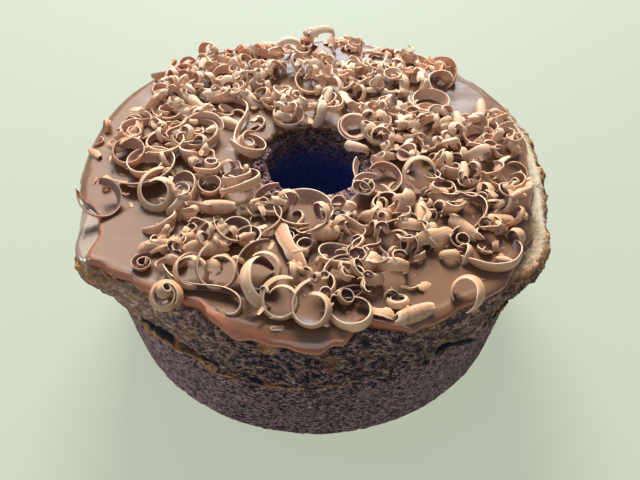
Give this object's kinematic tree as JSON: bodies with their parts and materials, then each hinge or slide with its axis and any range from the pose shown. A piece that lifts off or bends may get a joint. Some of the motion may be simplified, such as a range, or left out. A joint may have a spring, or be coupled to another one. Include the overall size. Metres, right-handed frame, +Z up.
{
  "type": "chocolate ring cake",
  "caption": "Round chocolate sponge cake baked in a tube tin, with a hole in the middle, a glossy chocolate icing on top and a thick strewing of milk chocolate curls.",
  "frame": {"origin": "middle of the flat base, on the surface the cake stands on", "axes": "+Z up along the hole, -Y towards the front with the drooping icing, +X to the right seen from the front"},
  "size_m": [0.2044, 0.2081, 0.0978],
  "materials": {
    "sponge": "dark crumbly chocolate sponge with a torn lighter band",
    "icing": "glossy chocolate icing with satin milk chocolate curls"
  },
  "bodies": {
    "root": {"sponge": "sponge", "icing": "icing"}
  },
  "joints": []
}
